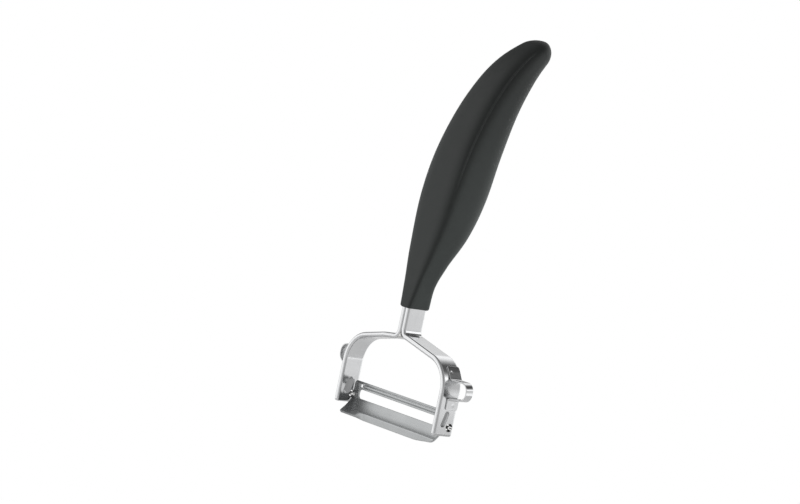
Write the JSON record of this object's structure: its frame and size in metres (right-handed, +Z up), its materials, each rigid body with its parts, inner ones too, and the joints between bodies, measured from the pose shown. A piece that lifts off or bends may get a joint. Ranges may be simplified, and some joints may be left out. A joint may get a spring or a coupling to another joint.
{
  "type": "vegetable peeler",
  "caption": "Y-shaped vegetable peeler: bent steel strip yoke, swinging slotted blade across the arms, eye-remover loops outside them and a curved, tapering matte handle.",
  "frame": {"origin": "middle of the handle's palm hold, on the handle's spine, where a hand holds the peeler", "axes": "+X across the yoke from the left arm to the right arm, +Y from the peeling side to the back, towards which the handle curves, +Z up along the stem from the blade to the handle"},
  "size_m": [0.0816, 0.0482, 0.1691],
  "materials": {
    "grip": "matte, finely grained",
    "core": "moulded",
    "yoke_steel": "satin with bright rounded edges",
    "weld_steel": "as welded, wire brushed",
    "loop_steel": "smooth sheet",
    "blade_steel": "fine satin, stamped"
  },
  "bodies": {
    "frame": {"grip_skin": "grip", "handle_core": "core", "right_strip": "yoke_steel", "left_strip": "yoke_steel", "stem_weld": "weld_steel", "right_eye_loop": "loop_steel", "left_eye_loop": "loop_steel"},
    "swing_blade": {"blade": "blade_steel"}
  },
  "joints": [
    {"name": "blade_swing", "type": "hinge", "parent": "frame", "child": "swing_blade", "pos_m": [0, -0.0061, -0.0922], "axis": [1, 0, 0], "range_deg": [-48, 7]}
  ]
}
